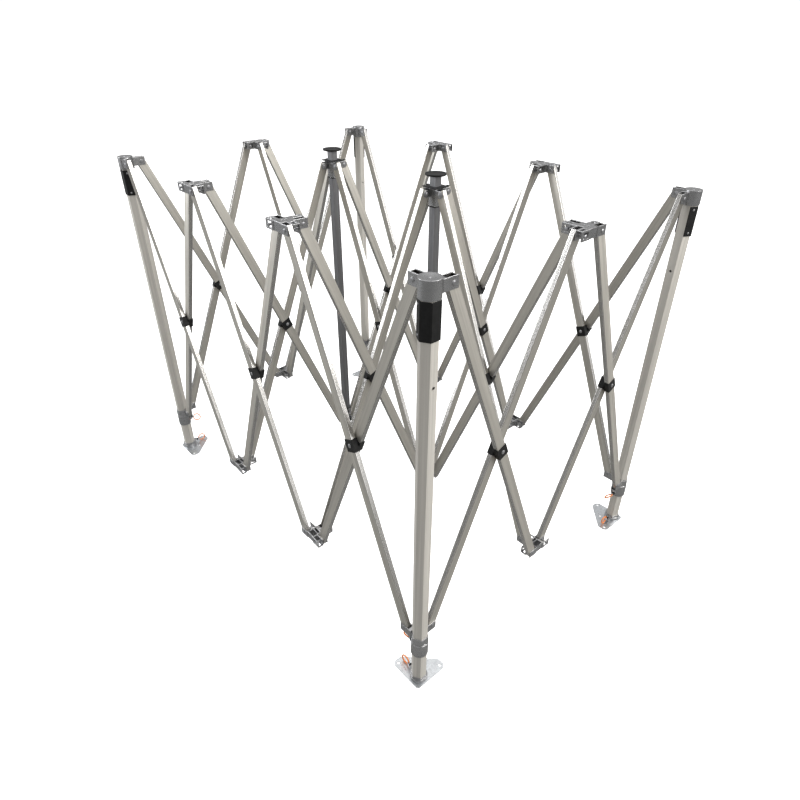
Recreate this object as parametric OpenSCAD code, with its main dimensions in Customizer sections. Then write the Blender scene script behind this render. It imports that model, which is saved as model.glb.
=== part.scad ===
// Folding scissor-truss frame of a pop-up canopy: three bays long, two bays wide, four telescoping-slider legs
// and two centre peak poles. X runs along the long side, Z up; the origin is on the floor at the middle.

/* [Scissor grid] */
// Distance between the two end pivots of a scissor bar
bar_pitch = 1422; // [1380:1:1440]
// Angle of the bars above the horizontal, as the frame stands
fold_angle = 67.2; // [64:0.1:70]
// Distance from a hub's centre to its bar pivots
mid_arm = 45; // [45:1:50]
// Distance from a leg's centre, or along a side hub's inward arm, to the bar pivot
corner_arm = 60; // [60:1:66]
// Distance between the centre planes of two crossing bars
bar_spacing = 22; // [22:0.5:23]
// Height of the upper pivots above the floor
top_pivot_z = 1563; // [1540:1:1580]

/* [Scissor bars] */
// Width of a bar's broad face
bar_w = 38; // [36:1:38]
// Thickness of a bar between its broad faces
bar_t = 18; // [17:0.5:18]
// Wall of the bar tube
bar_wall = 1.8; // [1.6:0.1:2.4]
// Length of the plastic sleeve at a crossing
sleeve_len = 46; // [40:1:60]

/* [Legs] */
// Hexagonal leg across its flats
leg_af = 50; // [48:0.5:50]
// Wall of the leg tube
leg_wall = 2.2; // [1.8:0.1:2.6]
// Depth of the lock hole below the upper pivot
lock_hole_drop = 277; // [260:1:300]
// Length of the protective band under the top bracket
band_len = 108; // [90:1:115]
// How far the foot plate reaches outward from the leg's centre
plate_out = 38; // [36:1:42]
// How far the foot plate reaches along each side
plate_reach = 108; // [100:1:115]
// Thickness of the foot plate
plate_t = 3; // [2.5:0.5:4]

/* [Peak poles] */
// Width of the square peak pole
pole_w = 30; // [28:0.5:30]
// Height of the cap's underside above the upper pivots
cap_rise = 60; // [58:1:70]
// Diameter of the cap
cap_d = 80; // [70:1:90]

/* [Hidden] */
$fn = 40;
CORNERS = ["left", "front", "right", "back"];
gap = 0.05;               // between pieces that only touch
pin_r = 4;
hole_r = pin_r + 0.06;
head_r = 7.2;
head_t = 2.6;
cell_w = bar_t + 1;       // inside width of an arm's cell
cheek = bar_spacing - cell_w;
end_over = 12;            // how far a bar runs past its end pivot
swing_r = 24;             // clear radius for a bar's end, about its pivot
run = bar_pitch * cos(fold_angle);
rise = bar_pitch * sin(fold_angle);
low_pivot_z = top_pivot_z - rise;
side_step = run + corner_arm + mid_arm;
mid_step = run + 2 * mid_arm;
half_sleeve = bar_spacing / 2 - gap;   // from a bar's centre plane to its sleeve's inner face
ring_r = 18;              // pull ring, from its centre to the middle of its wire
wire_r = 3;
orange = [1, 0.45, 0.12];
alloy = [0.72, 0.70, 0.66];
casting = [0.50, 0.51, 0.53];
plastic = [0.07, 0.07, 0.08];
zinc = [0.78, 0.80, 0.82];

// Grid places: columns 0 to 3 along X, rows 0 to 2 along Y
function col_x(i) = [-side_step - mid_step / 2, -mid_step / 2, mid_step / 2, side_step + mid_step / 2][i];
function row_y(j) = (j - 1) * side_step;
function arm_along_x(i) = i == 0 || i == 3 ? corner_arm : mid_arm;
function arm_along_y(j) = j == 1 ? mid_arm : corner_arm;
function is_corner(i, j) = (i == 0 || i == 3) && j != 1;
// The arms of the hub at (i, j): [angle, distance to the pivot], only towards hubs that exist
function arms(i, j) = concat(
    i < 3 ? [[0, arm_along_x(i)]] : [], j < 2 ? [[90, arm_along_y(j)]] : [],
    i > 0 ? [[180, arm_along_x(i)]] : [], j > 0 ? [[270, arm_along_y(j)]] : []);
// The way from a side hub to the inside of the frame
function inward(i, j) = j == 0 ? 90 : j == 2 ? 270 : i == 0 ? 0 : 180;
// Corner k stands at these grid places, turned a quarter turn from the one before
function corner_i(k) = [0, 3, 3, 0][k];
function corner_j(k) = [0, 0, 2, 2][k];

// ---- shared shapes -------------------------------------------------------------------------------------------

// Hexagon across its flats, with flats on the +X and -X sides
module hexagon(af) rotate(30) circle(d = af / cos(30), $fn = 6);

module hex_prism(af, z0, z1) translate([0, 0, z0]) linear_extrude(z1 - z0) hexagon(af);

module square_prism(w, z0, z1) translate([-w / 2, -w / 2, z0]) cube([w, w, z1 - z0]);

// Box given by its low and high corners
module span(low, high) translate(low) cube(high - low);

// Shaft along Y between two heads, the faces of the heads at y0 and y1
module rivet(y0, y1) {
    translate([0, y0 - 1, 0]) rotate([-90, 0, 0]) cylinder(r = pin_r, h = y1 - y0 + 2);
    for (side = [[y0 - gap, 90], [y1 + gap, -90]])
        translate([0, side[0], 0]) rotate([side[1], 0, 0]) {
            cylinder(r = head_r, h = head_t * 0.45);
            translate([0, 0, head_t * 0.45]) cylinder(r1 = head_r, r2 = head_r * 0.62, h = head_t * 0.55);
        }
}

// Hole for a rivet, right across an arm
module rivet_hole() translate([0, -60, 0]) rotate([-90, 0, 0]) cylinder(r = hole_r, h = 120);

// ---- scissor bars --------------------------------------------------------------------------------------------

// Rounded oblong with sides w and t, its corners true arcs
module rounded(w, t, r) {
    square([w - 2 * r, t], center = true);
    square([w, t - 2 * r], center = true);
    for (x = [-1, 1], y = [-1, 1]) translate([x * (w / 2 - r), y * (t / 2 - r)]) circle(r);
}

// Cross-section of the bar tube: three fine grooves run along each narrow face
module bar_profile() difference() {
    rounded(bar_w, bar_t, 2);
    square([bar_w - 2 * bar_wall - 1, bar_t - 2 * bar_wall], center = true);
    for (side = [-1, 1], y = [-4, 0, 4]) translate([side * bar_w / 2, y]) square([1.4, 1.5], center = true);
}

// Bar lying along +X from its pivot at the origin, its broad faces square to Y
module bar_tube() difference() {
    translate([-end_over, 0, 0]) rotate([90, 0, 90]) rotate(90)
        linear_extrude(bar_pitch + 2 * end_over) bar_profile();
    for (x = [0, bar_pitch / 2, bar_pitch]) translate([x, 0, 0]) rivet_hole();
}

// Sleeve around the bar's middle
module crossing_sleeve() translate([bar_pitch / 2, 0, 0]) difference() {
    span([-sleeve_len / 2, -half_sleeve, -bar_w / 2 - 2.6], [sleeve_len / 2, half_sleeve, bar_w / 2 + 2.6]);
    span([-sleeve_len, -bar_t / 2 - gap, -bar_w / 2 - gap], [sleeve_len, bar_t / 2 + gap, bar_w / 2 + gap]);
    rivet_hole();
}

// Bar that falls towards the far hub, with the bolt that joins the two bars where they cross
module falling_bar() {
    color(alloy) bar_tube();
    color(plastic) crossing_sleeve();
    color(zinc) translate([bar_pitch / 2, bar_spacing / 2, 0])
        rivet(-bar_spacing / 2 - half_sleeve, bar_spacing / 2 + half_sleeve);
}

// Bar that rises towards the far hub
module rising_bar() {
    color(alloy) bar_tube();
    color(plastic) crossing_sleeve();
}

// Bars of the bay that starts at hub (i, j) and runs along +X (turn 0) or +Y (turn 1)
module bay_bar(i, j, turn, falling)
    translate([col_x(i), row_y(j), falling ? top_pivot_z : low_pivot_z]) rotate(90 * turn)
        translate([turn == 0 ? arm_along_x(i) : arm_along_y(j), (falling ? -0.5 : 0.5) * bar_spacing, 0])
            rotate([0, falling ? fold_angle : -fold_angle, 0]) {
                if (falling) falling_bar();
                else rising_bar();
            }

// ---- hubs ----------------------------------------------------------------------------------------------------

hub_top = 19;             // above the pivots
hub_bottom = -14;
web = 21;                 // half width of a hub's core
wall = 3;
roof_t = 3.5;
rib_x = 6.75;
window_w = 6.4;
arm_half = bar_spacing / 2 + cell_w / 2 + cheek;
arm_over = 18;            // how far an arm runs past its pivot

// Two-cell arm along +X: the cell on the right holds the bar, the one on the left is an open pocket
module hub_arm(reach) difference() {
    span([web - 1, -arm_half, hub_bottom], [reach + arm_over, arm_half, hub_top]);
    translate([0, -bar_spacing / 2, 0])
        span([reach - swing_r, -cell_w / 2, hub_bottom - 1], [reach + 30, cell_w / 2, hub_top + 1]);
    span([web + wall, cheek / 2, hub_bottom - 1], [reach + 30, cheek / 2 + cell_w, hub_top - roof_t]);
    span([reach - 12, cheek / 2 + 4, hub_bottom], [reach + 10, cell_w - 2, hub_top + 1]);
    span([web + 8, cell_w, hub_bottom + 7], [reach + 8, arm_half + 1, hub_top - 7]);
    translate([reach, 0, 0]) rivet_hole();
}

// Core of a side hub whose inward arm is along +X: a shell open below, with a rib between its two windows
module hub_core() difference() {
    span([-web, -web, hub_bottom], [web, web, hub_top]);
    for (x = [[wall - web, rib_x - wall / 2], [rib_x + wall / 2, web - wall]])
        span([x[0], wall - web, hub_bottom - 1], [x[1], web - wall, hub_top - roof_t]);
    for (x = [rib_x - 7, rib_x + 6.5]) translate([x, 0, 0]) square_prism(window_w, 0, hub_top + 1);
}

// Side hub casting and the rivets that hold its bars
module side_hub(i, j) {
    color(casting) {
        rotate(inward(i, j)) hub_core();
        for (a = arms(i, j)) rotate(a[0]) hub_arm(a[1]);
    }
    color(zinc) for (a = arms(i, j)) rotate(a[0]) translate([a[1], 0, 0]) rivet(-arm_half, arm_half);
}

ear_r = 14;
sleeve_w = pole_w + 4.5;  // outside of the centre hub's square sleeve
liner_w = pole_w + 1.6;   // outside of its plastic liner
hub_floor = -49;          // lower end of the centre hub's sleeve
flange_z = 19;
flange_w = 71;

// Ears along +X on both sides of one bar
module hub_ears(reach) difference() {
    union() {
        span([sleeve_w / 2 - 1, -arm_half, -ear_r], [reach, cheek / 2, ear_r]);
        translate([reach, cheek / 2, 0]) rotate([90, 0, 0]) cylinder(r = ear_r, h = arm_half + cheek / 2);
    }
    translate([0, -bar_spacing / 2, 0])
        span([reach - swing_r, -cell_w / 2, -30], [reach + 30, cell_w / 2, 30]);
    translate([reach, 0, 0]) rivet_hole();
}

// Centre hub: a square sleeve with four pairs of ears, and a liner that the peak pole slides in
module centre_hub(i, j) {
    color(casting) difference() {
        union() {
            square_prism(sleeve_w, hub_floor, flange_z);
            for (a = arms(i, j)) rotate(a[0]) hub_ears(a[1]);
        }
        square_prism(liner_w + 2 * gap, hub_floor - 1, flange_z + 1);
    }
    color(plastic) difference() {
        union() {
            square_prism(liner_w, hub_floor - 1, flange_z + 1);
            square_prism(flange_w, flange_z + gap, flange_z + 3);
            square_prism(sleeve_w + 3, hub_floor - 4, hub_floor - gap);
        }
        square_prism(pole_w + 0.1, hub_floor - 10, flange_z + 10);
    }
    color(zinc) for (a = arms(i, j)) rotate(a[0]) translate([a[1], 0, 0]) rivet(-arm_half, cheek / 2);
}

// Upper hub as it stands, or the same casting turned over for the lower pivots
module hub(i, j, upper) translate([col_x(i), row_y(j), upper ? top_pivot_z : low_pivot_z]) {
    if (j == 1 && i > 0 && i < 3) {
        if (upper) centre_hub(i, j);
        else rotate([180, 0, 0]) centre_hub(i, 2 - j);
    }
    else {
        if (upper) side_hub(i, j);
        else rotate([180, 0, 0]) side_hub(i, 2 - j);
    }
}

// ---- peak poles ----------------------------------------------------------------------------------------------

pole_tail = 112;          // how far a pole reaches below its lower hub's pivots

// Pole and cap on the axis of the centre hub in column i
module peak_pole(i) translate([col_x(i), row_y(1), 0]) {
    color(alloy) difference() {
        square_prism(pole_w, low_pivot_z - pole_tail, top_pivot_z + cap_rise - gap);
        square_prism(pole_w - 3.6, low_pivot_z - pole_tail - 1, top_pivot_z + cap_rise + 1);
    }
    color(plastic) translate([0, 0, top_pivot_z + cap_rise]) {
        rotate_extrude() polygon([
            [0, 0], [cap_d / 2 - 3, 0], [cap_d / 2, 2], [cap_d / 2, 7], [cap_d / 2 - 3, 7],
            [cap_d / 2 - 7, 4.5], [12, 3.5], [0, 3.5]]);
        square_prism(pole_w - 3.8, -40, 1);
    }
}

// ---- legs ----------------------------------------------------------------------------------------------------

bracket_r = 31.5;
bracket_top = 25;         // above the upper pivots
bracket_low = -28;
leg_top = 14;
dish = 2.5;               // depth of the dish in the bracket's top
dish_r = 132.5;
band_top = -31;
foot_top = 31;            // top of the foot collar, above the floor
foot_pin_z = 22;
inner_side = cheek / 2 + 0.5;   // from a leg arm's line to the outside of its thin wall

// One-cell arm along +X; the cell holds the bar on the right of the arm's line
module leg_arm(reach, low, high, roof) difference() {
    span([bracket_r - 8, -arm_half, low], [reach + arm_over, inner_side, high]);
    translate([0, -bar_spacing / 2, 0]) span([reach - swing_r + 1, -cell_w / 2, low - 1],
        [reach + 30, cell_w / 2, roof]);
    translate([reach, 0, 0]) rivet_hole();
}

// Cap casting on the leg's head, with an arm along -X and one along +Y
module top_bracket() difference() {
    union() {
        translate([0, 0, bracket_low]) cylinder(r = bracket_r, h = bracket_top - bracket_low, $fn = 64);
        for (a = [90, 180]) rotate(a) leg_arm(corner_arm, -17, 19, 40);
    }
    hex_prism(leg_af + 2 * gap, bracket_low - 1, leg_top + gap);
    translate([0, 0, bracket_top - dish + dish_r]) sphere(r = dish_r, $fn = 200);
    cylinder(r = 2.05, h = 60);
}

// Screw in the middle of the dished top
module cap_screw() {
    translate([0, 0, leg_top + 1]) cylinder(r = 2, h = bracket_top - leg_top - 2);
    translate([0, 0, bracket_top - dish + 2 * gap]) cylinder(r1 = 4.4, r2 = 3, h = 1.8);
}

// Band over the leg's four outward faces
module corner_band() difference() {
    hex_prism(leg_af + 7, band_top - band_len, band_top);
    hex_prism(leg_af + 2 * gap, band_top - band_len - 1, band_top + 1);
    translate([0, 0, band_top - band_len - 1]) linear_extrude(band_len + 2)
        polygon([[0, 0], [0, 80], [-80, 80], [-80, -80 * tan(30)]]);
    for (a = [60, -120], z = [-12, 12 - band_len]) rotate(a) translate([20, 0, band_top + z])
        rotate([0, 90, 0]) cylinder(r = 2.6, h = 20);
}

// Rivets through the two ends of the band
module band_rivets() for (a = [60, -120], z = [-12, 12 - band_len]) rotate(a)
    translate([leg_af / 2 + gap, 0, band_top + z]) rotate([0, 90, 0]) {
        cylinder(r = 2.5, h = 3.6);
        translate([0, 0, 3.6]) cylinder(r1 = 4.5, r2 = 3, h = 1.6);
    }

module ring(r) rotate([90, 0, 0]) rotate_extrude() translate([ring_r, 0]) circle(r, $fn = 24);

// Spring pin along -X from its boss: black guide, plunger with an eye, and the pull ring through the eye,
// which sags below the pin and is swung about the pin's axis
module pull_pin(root, sag, swing) {
    eye = root + 16;
    color(plastic) translate([-root - 9, 0, 0]) rotate([0, 90, 0]) cylinder(r = 6.5, h = 9 - gap);
    rotate([swing, 0, 0]) {
        color(zinc) difference() {
            union() {
                translate([-eye, 0, 0]) rotate([0, 90, 0]) cylinder(r = 3, h = 7 - gap);
                translate([-eye, 0, 0]) sphere(r = 5.4);
            }
            translate([-eye, 0, 0]) rotate([0, -sag, 0]) translate([-ring_r, 0, 0]) ring(wire_r + 0.15);
        }
        color(orange) translate([-eye, 0, 0]) rotate([0, -sag, 0]) translate([-ring_r, 0, 0]) ring(wire_r);
    }
}

// Triangular foot plate with its right angle outward and three peg holes along its long edge
module foot_plate() difference() {
    linear_extrude(plate_t) polygon([
        [plate_out, -plate_out + 8], [plate_out, plate_reach - 14], [plate_out - 14, plate_reach],
        [plate_out - 40, plate_reach], [-plate_reach, plate_out - 40 + 6], [-plate_reach, 14 - plate_out],
        [14 - plate_reach, -plate_out], [plate_out - 8, -plate_out]]);
    for (p = peg_holes) translate([p[0], p[1], -1]) cylinder(r = 5, h = plate_t + 2);
}
peg_holes = [[-92, -20], [-39, 39], [20, 92]];

// Collar at the leg's lower end, with the boss of the height pin
module foot_collar() difference() {
    union() {
        translate([0, 0, plate_t + gap]) cylinder(r = 33.5, h = 16, $fn = 64);
        hex_prism(leg_af + 7, plate_t + gap, foot_top);
        span([-40, -9, plate_t + gap], [-20, 9, foot_top]);
    }
    hex_prism(leg_af + 2 * gap, plate_t, foot_top + 1);
}

// Leg k with everything that stays on it, as it stands at the front corner before it is turned
module leg_set() {
    color(alloy) {
        difference() {
            hex_prism(leg_af, plate_t + 2, top_pivot_z + leg_top);
            hex_prism(leg_af - 2 * leg_wall, plate_t, top_pivot_z + leg_top + 1);
            translate([0, 0, top_pivot_z - lock_hole_drop]) rotate([0, 90, 0])
                cylinder(r = 4.5, h = 80, center = true);
        }
        difference() {
            hex_prism(leg_af - 2 * leg_wall - 1, plate_t + gap, 620);
            hex_prism(leg_af - 2 * leg_wall - 5, plate_t, 621);
        }
    }
    color(casting) translate([0, 0, top_pivot_z]) top_bracket();
    color(casting) foot_collar();
    color(plastic) translate([0, 0, top_pivot_z]) corner_band();
    color(zinc) {
        translate([0, 0, top_pivot_z]) band_rivets();
        translate([0, 0, top_pivot_z]) for (a = [90, 180]) rotate(a)
            translate([corner_arm, 0, 0]) rivet(-arm_half, inner_side);
        translate([0, 0, top_pivot_z]) cap_screw();
        foot_plate();
    }
    translate([0, 0, foot_pin_z]) pull_pin(40, -12, 0);
}

// Slider on the leg: hexagonal sleeve, two arms for the lower bar ends and a spring pin
slider_low = -93;         // below the lower pivots
slider_pin = -74;
slider_arm_low = -26;
module slider_set() {
    color(casting) difference() {
        union() {
            hex_prism(leg_af + 7, -40, 2);
            translate([0, 0, slider_low]) cylinder(r = 32, h = 60, $fn = 64);
            for (a = [90, 180]) rotate(a) mirror([0, 1, 0]) leg_arm(corner_arm, slider_arm_low, 10, 40);
            for (a = [90, 180]) rotate(a) mirror([0, 1, 0])
                span([corner_arm - swing_r, -arm_half, slider_arm_low],
                    [corner_arm + arm_over, inner_side, -swing_r]);
            span([-38, -9, slider_pin - 9], [-20, 9, slider_pin + 9]);
        }
        hex_prism(leg_af + 0.15, slider_low - 1, 12);
    }
    color(zinc) for (a = [90, 180]) rotate(a)
        translate([corner_arm, 0, 0]) mirror([0, 1, 0]) rivet(-arm_half, inner_side);
    translate([0, 0, slider_pin]) pull_pin(38, 35, 50);
}

// Places a corner's parts: corner 1 is as drawn, and each next one is a quarter turn on
module at_corner(k, z) translate([col_x(corner_i(k)), row_y(corner_j(k)), z]) rotate(90 * (k - 1)) children();

// ---- nodes ---------------------------------------------------------------------------------------------------

LEVELS = ["upper", "lower"];
HUBS = [for (i = [0:3], j = [0:2]) if (!is_corner(i, j)) [i, j]];
LONG_BAYS = [for (i = [0:2], j = [0:2]) [i, j]];
CROSS_BAYS = [for (i = [0:3], j = [0:1]) [i, j]];
KINDS = ["falling", "rising"];
function hub_name(level, p) = str(level, "_hub_", p[0], "_", p[1]);
function bar_name(way, kind, p) = str(way, "_", kind, "_bar_", p[0], "_", p[1]);

for (k = [0:3]) {
    at_corner(k, 0) leg_set();
    at_corner(k, low_pivot_z) slider_set();
}
for (level = LEVELS, p = HUBS)
    hub(p[0], p[1], level == "upper");
for (kind = KINDS, p = LONG_BAYS)
    bay_bar(p[0], p[1], 0, kind == "falling");
for (kind = KINDS, p = CROSS_BAYS)
    bay_bar(p[0], p[1], 1, kind == "falling");
for (i = [1, 2])
    peak_pole(i);
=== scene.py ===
# Studio scene for the folding canopy frame: finishes of every surface, light, floor and camera.
# Lengths are in metres and noise scales in cycles per metre, unless a comment says otherwise.
import math

import bpy
import numpy as np
from mathutils import Matrix, Vector

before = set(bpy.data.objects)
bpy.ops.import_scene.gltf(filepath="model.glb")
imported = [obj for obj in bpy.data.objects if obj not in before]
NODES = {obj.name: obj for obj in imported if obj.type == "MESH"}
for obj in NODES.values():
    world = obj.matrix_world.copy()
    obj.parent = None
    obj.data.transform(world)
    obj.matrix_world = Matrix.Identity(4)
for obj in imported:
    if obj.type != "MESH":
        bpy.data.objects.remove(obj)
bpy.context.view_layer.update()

FOLD = math.radians(67.2)      # angle of the bars above the horizontal, at rest
UPRIGHT = (0, math.pi / 2, 0)  # turns X to the axis of a leg or a pole

# Turns X to a bar's axis, for each row direction and each way that a bar leans
TURNS = {
    ("long", "falling"): (0, FOLD, 0),
    ("long", "rising"): (0, -FOLD, 0),
    ("cross", "falling"): (0, FOLD, math.pi / 2),
    ("cross", "rising"): (0, -FOLD, math.pi / 2),
}


def turned(turn, direction):
    """The direction after the turn, first about Y and then about Z."""
    return Matrix.Rotation(turn[2], 3, "Z") @ Matrix.Rotation(turn[1], 3, "Y") @ Vector(direction)


# ---- node trees ----------------------------------------------------------------------------------

class NodeTree:
    """The node tree of a material or a world, with short names for the nodes it needs."""

    def __init__(self, owner):
        owner.use_nodes = True
        self.tree = owner.node_tree
        self.tree.nodes.clear()

    def node(self, kind, **facts):
        made = self.tree.nodes.new(kind)
        for key, value in facts.items():
            setattr(made, key, value)
        return made

    def link(self, output, socket):
        self.tree.links.new(output, socket)

    def put(self, value, socket):
        """Links an output to the socket, or sets the socket to a plain value."""
        if isinstance(value, bpy.types.NodeSocket):
            self.link(value, socket)
        else:
            socket.default_value = value

    def remap(self, value, low, high, to_low, to_high):
        made = self.node("ShaderNodeMapRange")
        self.link(value, made.inputs["Value"])
        for key, limit in zip(("From Min", "From Max", "To Min", "To Max"), (low, high, to_low, to_high)):
            made.inputs[key].default_value = limit
        return made.outputs["Result"]

    def math(self, operation, a, b):
        made = self.node("ShaderNodeMath", operation=operation)
        self.put(a, made.inputs[0])
        self.put(b, made.inputs[1])
        return made.outputs[0]

    def dot(self, a, b):
        made = self.node("ShaderNodeVectorMath", operation="DOT_PRODUCT")
        self.put(a, made.inputs[0])
        self.put(b, made.inputs[1])
        return made.outputs["Value"]

    def seen_by_camera(self):
        return self.node("ShaderNodeLightPath").outputs["Is Camera Ray"]


class Shader(NodeTree):
    """A surface material around one Principled node, in the coordinates of its own body."""

    def __init__(self, name):
        self.material = bpy.data.materials.new(name)
        super().__init__(self.material)
        out = self.node("ShaderNodeOutputMaterial")
        self.bsdf = self.node("ShaderNodeBsdfPrincipled")
        self.link(self.bsdf.outputs[0], out.inputs[0])
        self.place = self.node("ShaderNodeTexCoord").outputs["Object"]

    def stretch(self, turn, scale):
        """The place, turned so that a tube's own axis is X, then scaled."""
        made = self.node("ShaderNodeMapping", vector_type="TEXTURE")
        self.link(self.place, made.inputs["Vector"])
        made.inputs["Rotation"].default_value = turn
        made.inputs["Scale"].default_value = [1 / s for s in scale]
        return made.outputs[0]

    def noise(self, vector, scale, detail=3, rough=0.5):
        made = self.node("ShaderNodeTexNoise")
        self.link(vector, made.inputs["Vector"])
        made.inputs["Scale"].default_value = scale
        made.inputs["Detail"].default_value = detail
        made.inputs["Roughness"].default_value = rough
        return made.outputs["Fac"]

    def mix(self, factor, a, b, blend="MIX"):
        """Mixes two colours, each an output or three plain numbers."""
        made = self.node("ShaderNodeMix", data_type="RGBA", blend_type=blend)
        self.put(factor, made.inputs[0])
        for value, socket in ((a, made.inputs[6]), (b, made.inputs[7])):
            self.put(value if isinstance(value, bpy.types.NodeSocket) else (*value, 1), socket)
        return made.outputs[2]

    def bump(self, height, distance, strength, normal=None):
        made = self.node("ShaderNodeBump")
        made.inputs["Distance"].default_value = distance
        made.inputs["Strength"].default_value = strength
        self.link(height, made.inputs["Height"])
        if normal is not None:
            self.link(normal, made.inputs["Normal"])
        return made.outputs[0]

    def along(self, direction):
        """A direction of the rest pose, turned with the body, as a world vector."""
        made = self.node("ShaderNodeVectorTransform", vector_type="VECTOR",
                         convert_from="OBJECT", convert_to="WORLD")
        made.inputs[0].default_value = direction
        return made.outputs[0]

    def round_edges(self, radius):
        """The normal with rounded edges, and a mask that is 1 on the edges."""
        made = self.node("ShaderNodeBevel", samples=4)
        made.inputs["Radius"].default_value = radius
        flat = self.node("ShaderNodeNewGeometry").outputs["Normal"]
        return made.outputs[0], self.remap(self.dot(made.outputs[0], flat), 0.97, 0.75, 0, 1)

    def finish(self, color, rough, metallic, normal, **more):
        values = {"Base Color": color, "Roughness": rough, "Metallic": metallic, "Normal": normal, **more}
        for key, value in values.items():
            self.put(value, self.bsdf.inputs[key])
        return self.material


def shade(color, factor, lift=0.0):
    """The colour made darker or paler, but no paler than white."""
    return [min(1, c * factor + lift) for c in color]


# ---- materials -----------------------------------------------------------------------------------

def drawn_metal(name, color, rough, turn, metallic=0.85, lines=900, polish=0.0, satin=0.7, edge=None):
    """Anodised tube: die lines along the tube, slow tone drift, a fine satin grain and, when an edge radius
    is given, paler edges that are a painted highlight.
    """
    s = Shader(name)
    streak = s.noise(s.stretch(turn, (2.5, lines, lines)), 1, 4, 0.6)
    wide = s.noise(s.stretch(turn, (1.5, lines / 9, lines / 9)), 1, 2)
    drift = s.noise(s.place, 4.5, 2)
    grain = s.noise(s.place, 2600, 2)
    tone = s.mix(s.remap(wide, 0.3, 0.7, 0, 1), shade(color, 0.84), shade(color, 1.12))
    tone = s.mix(s.remap(drift, 0.3, 0.7, 0.0, 0.45), tone, color)
    normal = None
    if edge:
        normal, painted_highlight_rim = s.round_edges(edge)
        # Painted highlight: the rounded edges are made paler, as if they caught the light.
        tone = s.mix(s.math("MULTIPLY", painted_highlight_rim, 0.55), tone, shade(color, 1.45))
    tint = s.mix(s.remap(streak, 0.25, 0.75, 0.0, 0.16 + polish), tone, (0.9, 0.9, 0.88), "MULTIPLY")
    gloss = s.math("ADD", s.remap(streak, 0.3, 0.7, rough - 0.05, rough + 0.06),
                   s.remap(grain, 0.3, 0.7, -0.03, 0.03))
    height = s.math("ADD", s.math("MULTIPLY", streak, 0.8), s.math("MULTIPLY", grain, 0.35))
    return s.finish(tint, gloss, metallic, s.bump(height, 0.00012, 0.22, normal),
                    Anisotropic=satin, Tangent=s.along(turned(turn, (1, 0, 0))))


def bar_metals(name, color, rough, **more):
    """One drawn metal for each way that a bar can lie, with its die lines along the bar."""
    return {way: drawn_metal("_".join((name, *way)), color, rough, turn, **more)
            for way, turn in TURNS.items()}


def cast_metal(name, color, rough, metallic):
    """Die-cast alloy: fine pebbled skin, scattered darker specks, glossier edges with a painted highlight on
    them.
    """
    s = Shader(name)
    normal, painted_highlight_rim = s.round_edges(0.0016)
    skin = s.noise(s.place, 700, 3, 0.5)
    cloud = s.noise(s.place, 14, 2)
    speck = s.noise(s.place, 1900, 2)
    tone = s.mix(s.remap(cloud, 0.3, 0.7, 0, 1), shade(color, 0.9), shade(color, 1.1))
    tone = s.mix(s.remap(speck, 0.55, 0.75, 0, 0.2), tone, shade(color, 0.7))
    # Painted highlight on the edges, broken up by the pebbled skin; the same mask also makes the edges
    # glossier.
    painted_edge_highlight = s.math("MULTIPLY", painted_highlight_rim, s.remap(skin, 0.3, 0.6, 0.25, 1))
    tone = s.mix(painted_edge_highlight, tone, shade(color, 2.5, 0.08))
    gloss = s.math("SUBTRACT", s.remap(skin, 0.3, 0.7, rough - 0.07, rough + 0.08),
                   s.math("MULTIPLY", painted_edge_highlight, 0.12))
    height = s.math("ADD", skin, s.math("MULTIPLY", speck, 0.4))
    return s.finish(tone, gloss, metallic, s.bump(height, 0.0001, 0.14, normal))


def moulded_plastic(name, color, rough):
    """Black nylon: spark-eroded skin, paler dusty patches, and paler edges that are a painted highlight."""
    s = Shader(name)
    normal, painted_highlight_rim = s.round_edges(0.0012)
    skin = s.noise(s.place, 1400, 3, 0.6)
    dust = s.noise(s.place, 60, 4, 0.65)
    tone = s.mix(s.remap(dust, 0.45, 0.8, 0, 0.35), color, shade(color, 2.6, 0.012))
    # Painted highlight: the rounded edges are made paler, as if they caught the light.
    tone = s.mix(s.math("MULTIPLY", painted_highlight_rim, 0.5), tone, shade(color, 3.2, 0.03))
    gloss = s.remap(dust, 0.3, 0.7, rough - 0.06, rough + 0.1)
    return s.finish(tone, gloss, 0, s.bump(skin, 0.0002, 0.35, normal), **{"Specular IOR Level": 0.22})


def zinc_plate(name, color, rough):
    """Zinc on steel: faint crystals, fine scratches, a few dull spots."""
    s = Shader(name)
    normal, painted_highlight_rim = s.round_edges(0.0007)
    cells = s.node("ShaderNodeTexVoronoi")
    s.link(s.place, cells.inputs["Vector"])
    cells.inputs["Scale"].default_value = 170
    crystal = s.remap(cells.outputs["Color"], 0, 1, 0, 1)
    spots = s.noise(s.place, 75, 4, 0.6)
    scratch = s.noise(s.stretch((0, 0, 0.6), (40, 2400, 400)), 1, 3)
    tone = s.mix(crystal, shade(color, 0.86), shade(color, 1.1))
    tone = s.mix(s.remap(spots, 0.55, 0.75, 0, 0.5), tone, shade(color, 0.6))
    # Painted highlight: the rounded edges are made paler, as if they caught the light.
    tone = s.mix(s.math("MULTIPLY", painted_highlight_rim, 0.6), tone, (0.9, 0.9, 0.9))
    gloss = s.math("ADD", s.remap(spots, 0.3, 0.7, rough - 0.06, rough + 0.12),
                   s.remap(scratch, 0.3, 0.7, -0.04, 0.04))
    return s.finish(tone, gloss, 0.9, s.bump(scratch, 0.0001, 0.2, normal))


def coated_wire(name, color):
    """Vinyl-coated pull ring: saturated, waxy, scuffed where the coat rubs."""
    s = Shader(name)
    scuff = s.noise(s.place, 240, 4, 0.65)
    broad = s.noise(s.place, 45, 2)
    tone = s.mix(s.remap(broad, 0.3, 0.7, 0, 1), shade(color, 0.8), color)
    tone = s.mix(s.remap(scuff, 0.58, 0.78, 0, 0.5), tone, (0.93, 0.62, 0.36))
    gloss = s.remap(scuff, 0.3, 0.7, 0.28, 0.5)
    return s.finish(tone, gloss, 0, s.bump(scuff, 0.0003, 0.3), **{"Coat Weight": 0.25})


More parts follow.
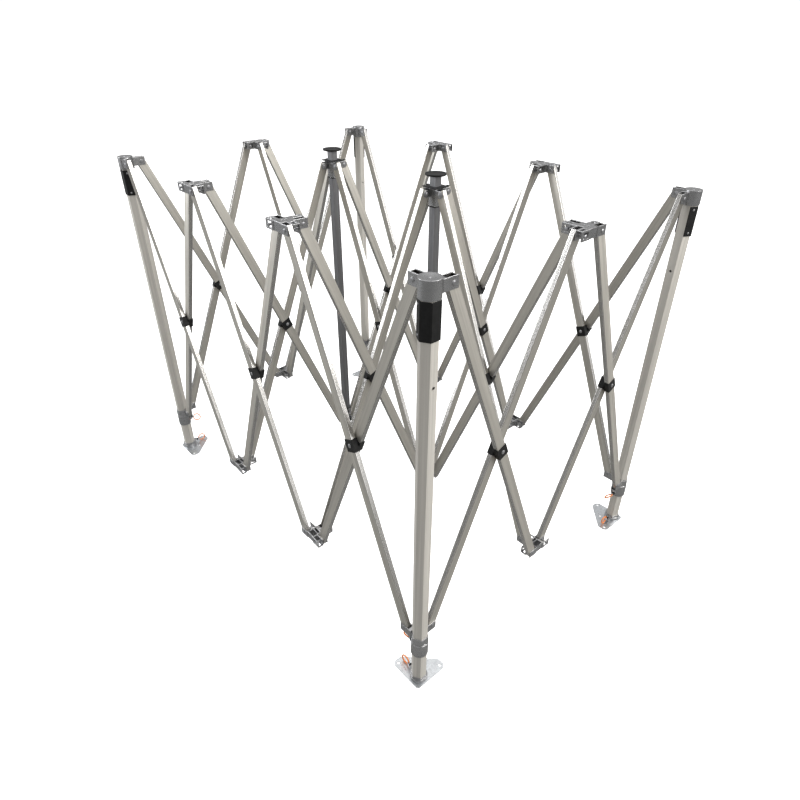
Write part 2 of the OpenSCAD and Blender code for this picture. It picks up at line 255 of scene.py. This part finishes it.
LEG = drawn_metal("leg_anodised", (0.56, 0.535, 0.49), 0.46, UPRIGHT, metallic=0.35, edge=0.0008)
CAST = cast_metal("cast_grey", (0.38, 0.38, 0.385), 0.27, 0.97)
PLASTIC = moulded_plastic("black_nylon", (0.007, 0.007, 0.007), 0.5)
ZINC = zinc_plate("bright_zinc", (0.62, 0.64, 0.66), 0.3)
RIVET = zinc_plate("rivet_steel", (0.34, 0.34, 0.35), 0.34)
RING = coated_wire("orange_vinyl", (0.86, 0.25, 0.05))
POLE = drawn_metal("pole_anodised", (0.165, 0.165, 0.17), 0.34, UPRIGHT, metallic=0.8, edge=0.0008)
BROAD = bar_metals("bar_satin", (0.57, 0.545, 0.495), 0.35, metallic=0.92)
NARROW = bar_metals("bar_bright", (0.74, 0.725, 0.70), 0.22, metallic=0.97, lines=1300, polish=0.1, satin=0.4)
# Near-black insides of the bar's grooves: painted shade, as the grooves lie in shadow.
GROOVE_SHADE = bar_metals("bar_groove", (0.05, 0.048, 0.045), 0.4)


# ---- the CAD nodes' solids and their finishes ----------------------------------------------------

# A solid is known by its box, whose sides are long, middle and short, in mm
TUBE_LENGTH = 500           # every leg, bar and pole tube is longer, every other solid is shorter
CASTING_LENGTH = 90         # a slider's or a hub's casting is longer
LEG_CASTING_LENGTH = 60     # a leg's bracket and collar are longer
LINER_LENGTH = 60           # a centre hub's plastic liner is longer, its rivets are shorter
PLATE_LENGTH, PLATE_THICKNESS = 100, 4      # the foot plate is longer and thinner
BAND_LENGTH, BAND_WIDTH = 107, 75           # a leg's black band is longer and narrower
CROSSING_BOLT_WIDTH = 16    # a crossing's bolt is narrower, its plastic sleeve is wider
RING_SPAN, RING_WIDTH = (30, 46), 20        # a pull ring's long side lies between, its middle side is more
PIN_GUIDE, GUIDE_SLACK = 13, 0.4            # width of a pull pin's black guide, and how far off it may be
PLUNGER, PLUNGER_SLACK = 10.8, 0.3          # width of a pull pin's plunger, likewise

# Distances of a bar's faces from its middle, in metres: any face nearer than this is inside a groove
BROAD_FACE = 0.0085
NARROW_FACE = 0.0187


def solids(mesh):
    """Vertex places, and a list of polygon numbers for each closed solid in the mesh."""
    places = np.empty(len(mesh.vertices) * 3, np.float32)
    mesh.vertices.foreach_get("co", places)
    places = places.reshape(-1, 3)
    rounded = np.round(places * 1e5).astype(np.int64)      # to 0.01 mm, so that split corners meet again
    _, spot = np.unique(rounded, axis=0, return_inverse=True)
    spot = spot.ravel().tolist()
    parent = list(range(max(spot) + 1))

    def root(a):
        while parent[a] != a:
            parent[a] = parent[parent[a]]
            a = parent[a]
        return a

    for polygon in mesh.polygons:
        first, *others = polygon.vertices
        for vertex in others:
            parent[root(spot[vertex])] = root(spot[first])
    groups = {}
    for polygon in mesh.polygons:
        groups.setdefault(root(spot[polygon.vertices[0]]), []).append(polygon.index)
    return places, list(groups.values())


def fitting_finish(long, middle):
    """Pull ring, black pin guide, plunger, or else a rivet or screw."""
    if RING_SPAN[0] < long < RING_SPAN[1] and middle > RING_WIDTH:
        return RING
    if abs(long - PIN_GUIDE) < GUIDE_SLACK and abs(middle - PIN_GUIDE) < GUIDE_SLACK:
        return PLASTIC
    return ZINC if abs(middle - PLUNGER) < PLUNGER_SLACK else RIVET


def leg_finish(long, middle, short):
    if long > TUBE_LENGTH:
        return LEG
    if short < PLATE_THICKNESS and long > PLATE_LENGTH:
        return ZINC
    if long > BAND_LENGTH and middle < BAND_WIDTH:
        return PLASTIC
    return CAST if long > LEG_CASTING_LENGTH else fitting_finish(long, middle)


def slider_finish(long, middle, short):
    return CAST if long > CASTING_LENGTH else fitting_finish(long, middle)


def hub_finish(long, middle, short):
    if long > CASTING_LENGTH:
        return CAST
    return PLASTIC if long > LINER_LENGTH else RIVET


def pole_finish(long, middle, short):
    return POLE if long > TUBE_LENGTH else PLASTIC


def crossing_finish(long, middle, short):
    return RIVET if middle < CROSSING_BOLT_WIDTH else PLASTIC


def bar_finish(polygon, centre, way):
    """Satin broad faces, bright narrow faces, and grooves painted near-black as shade, of one bar tube."""
    across = turned(TURNS[way], (0, 1, 0))
    upward = turned(TURNS[way], (0, 0, 1))
    offset = polygon.center - centre
    if abs(polygon.normal.dot(across)) > 0.9:              # one that faces across the bar
        return (BROAD if abs(offset.dot(across)) > BROAD_FACE else GROOVE_SHADE)[way]
    return (NARROW if abs(offset.dot(upward)) >= NARROW_FACE else GROOVE_SHADE)[way]


def solid_finish(name):
    """The function that gives the finish of a whole solid in the named node."""
    if "_bar_" in name:
        return crossing_finish
    if name.startswith("peak_pole"):
        return pole_finish
    if name.startswith("leg"):
        return leg_finish
    return slider_finish if "slider" in name else hub_finish


def soften(node):
    """Rounds the sharp edges of castings, collars and fittings."""
    weld = node.modifiers.new("weld", "WELD")
    weld.merge_threshold = 1e-5
    flat = node.modifiers.new("flat", "DECIMATE")
    flat.decimate_type = "DISSOLVE"
    flat.angle_limit = math.radians(1)
    flat.delimit = {"MATERIAL"}
    bevel = node.modifiers.new("bevel", "BEVEL")
    bevel.width = 0.001
    bevel.segments = 2
    bevel.limit_method = "ANGLE"
    bevel.angle_limit = math.radians(35)
    bevel.use_clamp_overlap = False
    bevel.harden_normals = True
    even = node.modifiers.new("even", "WEIGHTED_NORMAL")
    even.keep_sharp = True


def finish_node(name, node):
    """Gives every face of a node its material."""
    mesh = node.data
    places, groups = solids(mesh)
    slots, index = [], np.zeros(len(mesh.polygons), np.int32)

    def slot(material):
        if material not in slots:
            slots.append(material)
        return slots.index(material)

    for group in groups:
        corners = places[sorted({v for i in group for v in mesh.polygons[i].vertices})]
        low, high = corners.min(0), corners.max(0)
        size = sorted(((high - low) * 1000).tolist(), reverse=True)
        if "_bar_" in name and size[0] > TUBE_LENGTH:
            way = tuple(name.split("_")[:2])
            centre = Vector(((high + low) / 2).tolist())
            for i in group:
                index[i] = slot(bar_finish(mesh.polygons[i], centre, way))
        else:
            index[group] = slot(solid_finish(name)(*size))
    mesh.materials.clear()
    for material in slots:
        mesh.materials.append(material)
    mesh.polygons.foreach_set("material_index", index)
    mesh.update()
    if CAST in slots:
        soften(node)


for node_name, node in NODES.items():
    finish_node(node_name, node)


# ---- floor, camera and light ---------------------------------------------------------------------

EYE = Vector((1.963, -1.621, 2.112))
FORWARD = Vector((-0.63361, 0.55871, -0.53515))
RIGHT = Vector((0.66096, 0.75042, 0.0009))
LENS = 27.27                # mm, on a sensor 36 mm wide

FLOOR_HALF = 40.0
FLOOR_Z = -0.0006           # just under the foot plates
FLOOR_GREY = (0.27, 0.27, 0.265)            # what the metals see of the floor

FLOOR_GLOW = 0.75           # its own light as the camera sees it, which hides the horizon

MIDDLE = (0, 0, 0.8)        # what the lights point at
WINDOW = 1.4                # strength of the room's bright side
WINDOW_SIDE = (0.83, 0.55, 0.1)
BACKDROP = 1.05             # strength of the white that the camera sees


def floor_material():
    """White floor for the camera, a darker one for everything that it lights or is mirrored in."""
    s = Shader("studio_floor")
    soft = s.noise(s.place, 1.3, 2)
    seen = s.seen_by_camera()
    pale = s.mix(soft, (0.93, 0.93, 0.93), (0.95, 0.95, 0.95))
    return s.finish(s.mix(seen, FLOOR_GREY, pale), 0.9, 0, s.bump(soft, 0.001, 0.05),
                    **{"Emission Color": (1, 1, 1, 1),
                       "Emission Strength": s.math("MULTIPLY", seen, FLOOR_GLOW)})


def scene_object(name, data):
    made = bpy.data.objects.new(name, data)
    bpy.context.scene.collection.objects.link(made)
    return made


def floor():
    mesh = bpy.data.meshes.new("studio_floor")
    corners = ((-1, -1), (1, -1), (1, 1), (-1, 1))
    mesh.from_pydata([(x * FLOOR_HALF, y * FLOOR_HALF, FLOOR_Z) for x, y in corners], [], [(0, 1, 2, 3)])
    mesh.materials.append(floor_material())
    return scene_object("studio_floor", mesh)


def camera():
    made = scene_object("camera", bpy.data.cameras.new("camera"))
    up = RIGHT.cross(FORWARD)
    made.matrix_world = Matrix((
        (RIGHT.x, up.x, -FORWARD.x, EYE.x),
        (RIGHT.y, up.y, -FORWARD.y, EYE.y),
        (RIGHT.z, up.z, -FORWARD.z, EYE.z),
        (0, 0, 0, 1)))
    made.data.sensor_width = 36
    made.data.lens = LENS
    made.data.clip_end = 200
    bpy.context.scene.camera = made


def area_light(name, place, size, power, color=(1, 1, 1)):
    light = bpy.data.lights.new(name, "AREA")
    light.shape = "RECTANGLE"
    light.size = light.size_y = size
    light.energy = power
    light.color = color
    made = scene_object(name, light)
    made.location = place
    made.rotation_euler = (Vector(MIDDLE) - Vector(place)).to_track_quat("-Z", "Y").to_euler()


def studio_world():
    """A pale room with one wide bright side, seen as plain white by the camera."""
    world = bpy.data.worlds.new("studio")
    t = NodeTree(world)
    place = t.node("ShaderNodeTexCoord").outputs["Generated"]
    window = t.remap(t.dot(place, WINDOW_SIDE), 0.45, 0.95, 0, WINDOW)
    sky = t.remap(t.dot(place, (0, 0, 1)), -0.2, 0.9, 0.28, 0.8)
    seen = t.seen_by_camera()
    white = t.math("MULTIPLY", seen, BACKDROP)
    unseen = t.math("MULTIPLY", t.math("SUBTRACT", 1.0, seen), t.math("ADD", window, sky))
    back = t.node("ShaderNodeBackground")
    back.inputs["Color"].default_value = (1, 1, 1, 1)
    t.link(t.math("ADD", white, unseen), back.inputs["Strength"])
    t.link(back.outputs[0], t.node("ShaderNodeOutputWorld").inputs[0])
    bpy.context.scene.world = world


floor()
camera()
area_light("key", (3.6, 1.6, 3.4), 2.6, 100, (1, 0.985, 0.95))
area_light("fill", (-3.2, -3.4, 2.6), 3, 140, (0.95, 0.97, 1))
area_light("top", (-0.4, 0.4, 5.2), 4, 60)
studio_world()
bpy.context.scene.view_settings.view_transform = "Standard"
